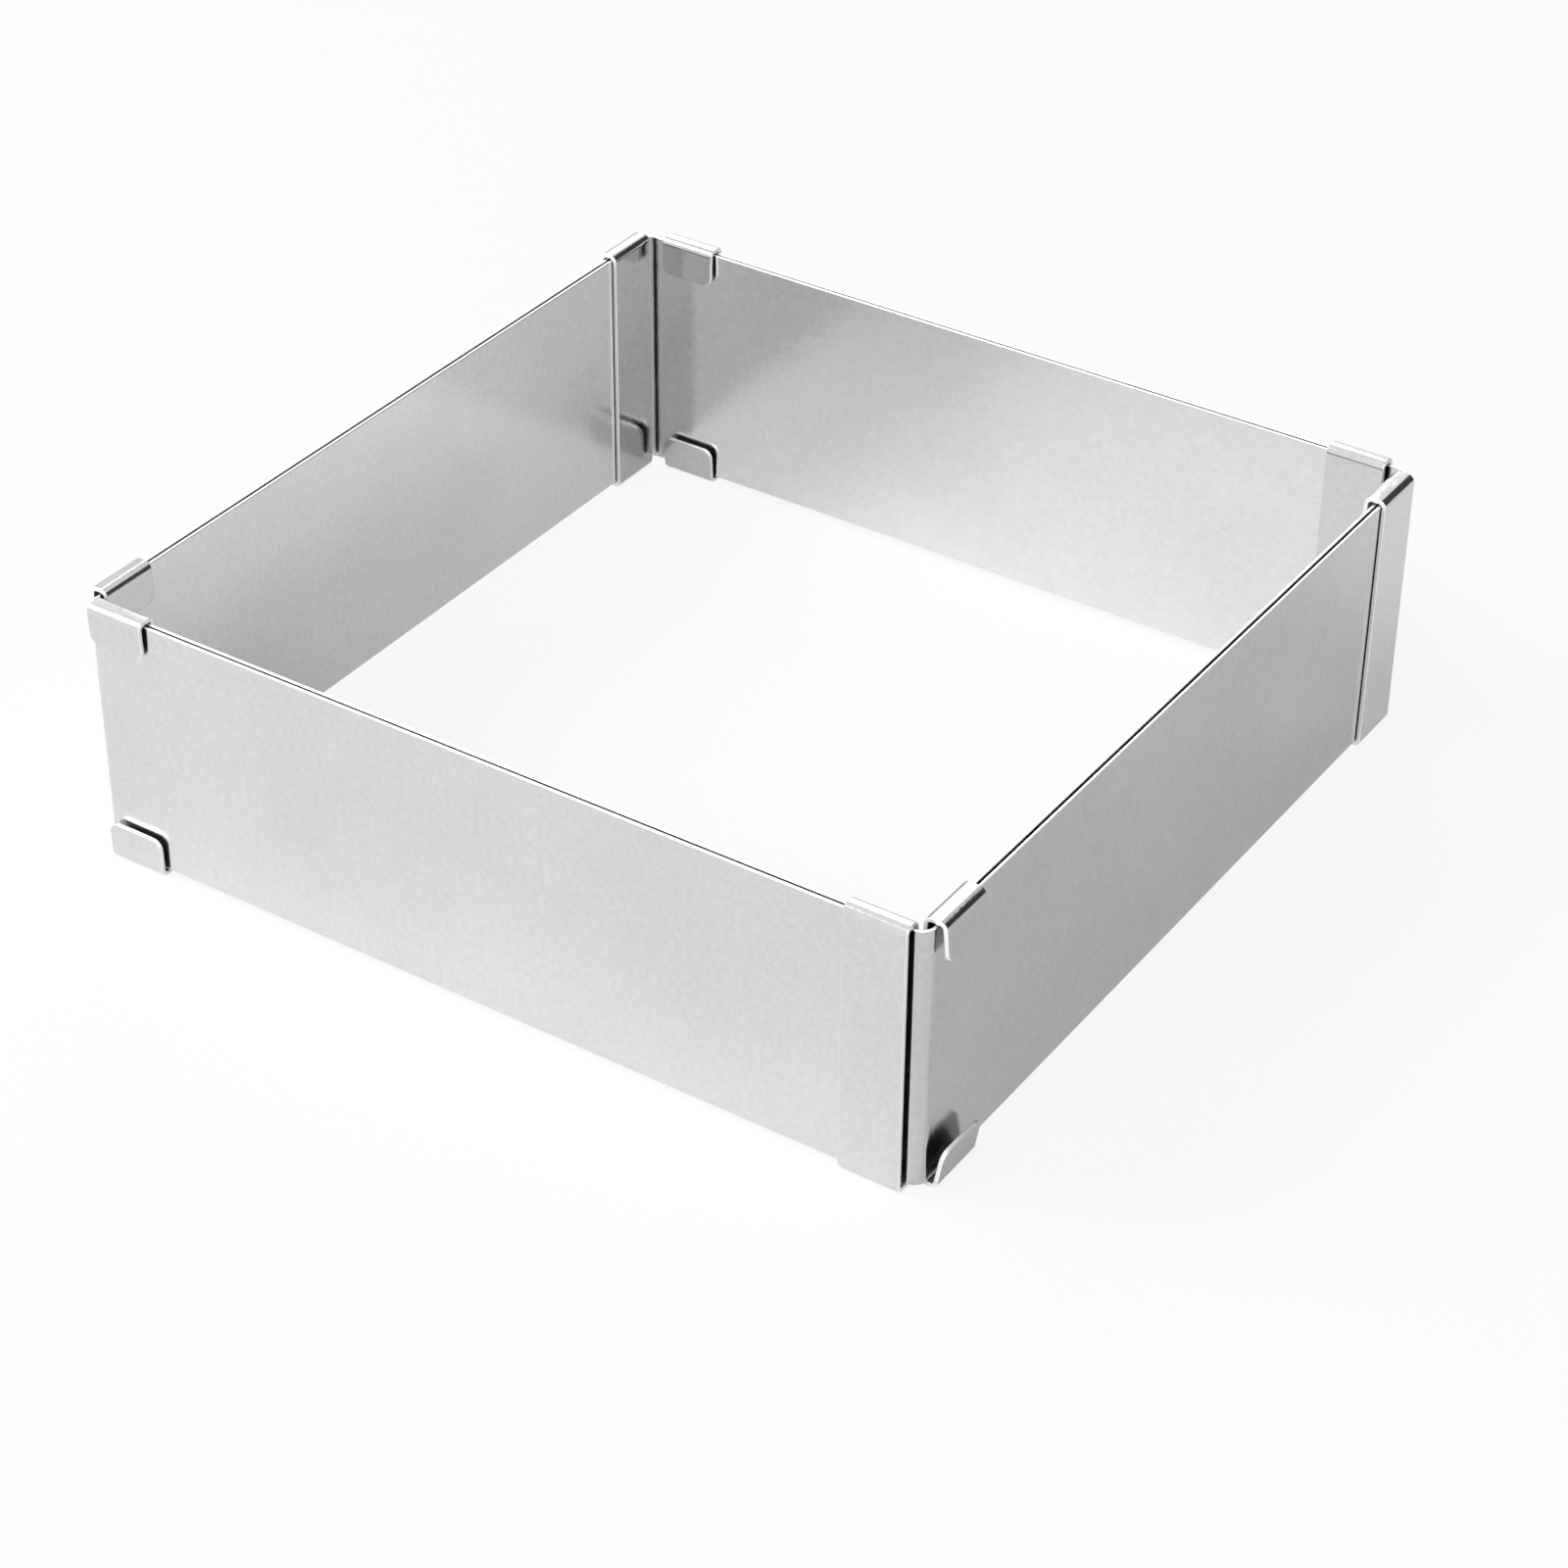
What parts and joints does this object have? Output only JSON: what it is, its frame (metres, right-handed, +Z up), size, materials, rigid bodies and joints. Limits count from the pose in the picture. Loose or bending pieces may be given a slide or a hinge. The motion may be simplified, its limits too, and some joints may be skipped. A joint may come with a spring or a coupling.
{
  "type": "adjustable cake frame",
  "caption": "Square bottomless baking frame of bent steel sheet whose L-shaped panels slide along one another, held by guide clips on their ends, so it opens wider and deeper.",
  "frame": {"origin": "middle of the frame as it stands closed, at the height of the surface it stands on", "axes": "+Z up, +X along the front wall to the right, +Y from the front wall to the back wall"},
  "size_m": [0.1636, 0.1626, 0.05],
  "materials": {
    "front_left_steel": "finely brushed stainless steel",
    "front_left_outer_clip_steel": "finely brushed stainless steel",
    "front_left_inner_clip_steel": "finely brushed stainless steel",
    "front_right_steel": "finely brushed stainless steel",
    "front_right_outer_clip_steel": "finely brushed stainless steel",
    "front_right_inner_clip_steel": "finely brushed stainless steel",
    "back_right_steel": "finely brushed stainless steel",
    "back_right_outer_clip_steel": "finely brushed stainless steel",
    "back_right_inner_clip_steel": "finely brushed stainless steel",
    "back_left_steel": "finely brushed stainless steel",
    "back_left_outer_clip_steel": "finely brushed stainless steel",
    "back_left_inner_clip_steel": "finely brushed stainless steel"
  },
  "bodies": {
    "front_right": {"front_right_panel": "front_right_steel", "front_right_outer_clip": "front_right_outer_clip_steel", "front_right_inner_clip": "front_right_inner_clip_steel"},
    "front_left": {"front_left_panel": "front_left_steel", "front_left_outer_clip": "front_left_outer_clip_steel", "front_left_inner_clip": "front_left_inner_clip_steel"},
    "back_right": {"back_right_panel": "back_right_steel", "back_right_outer_clip": "back_right_outer_clip_steel", "back_right_inner_clip": "back_right_inner_clip_steel"},
    "back_left": {"back_left_panel": "back_left_steel", "back_left_outer_clip": "back_left_outer_clip_steel", "back_left_inner_clip": "back_left_inner_clip_steel"}
  },
  "joints": [
    {"name": "width_slide", "type": "slide", "parent": "front_right", "child": "front_left", "axis": [-1, 0, 0], "range_m": [0, 0.128]},
    {"name": "depth_slide", "type": "slide", "parent": "front_right", "child": "back_right", "axis": [0, 1, 0], "range_m": [0, 0.131]},
    {"name": "back_width_slide", "type": "slide", "parent": "back_right", "child": "back_left", "axis": [-1, 0, 0], "range_m": [0, 0.128]}
  ],
  "couplings": [
    {"joint": "back_width_slide", "follows": "width_slide", "ratio": 1}
  ]
}
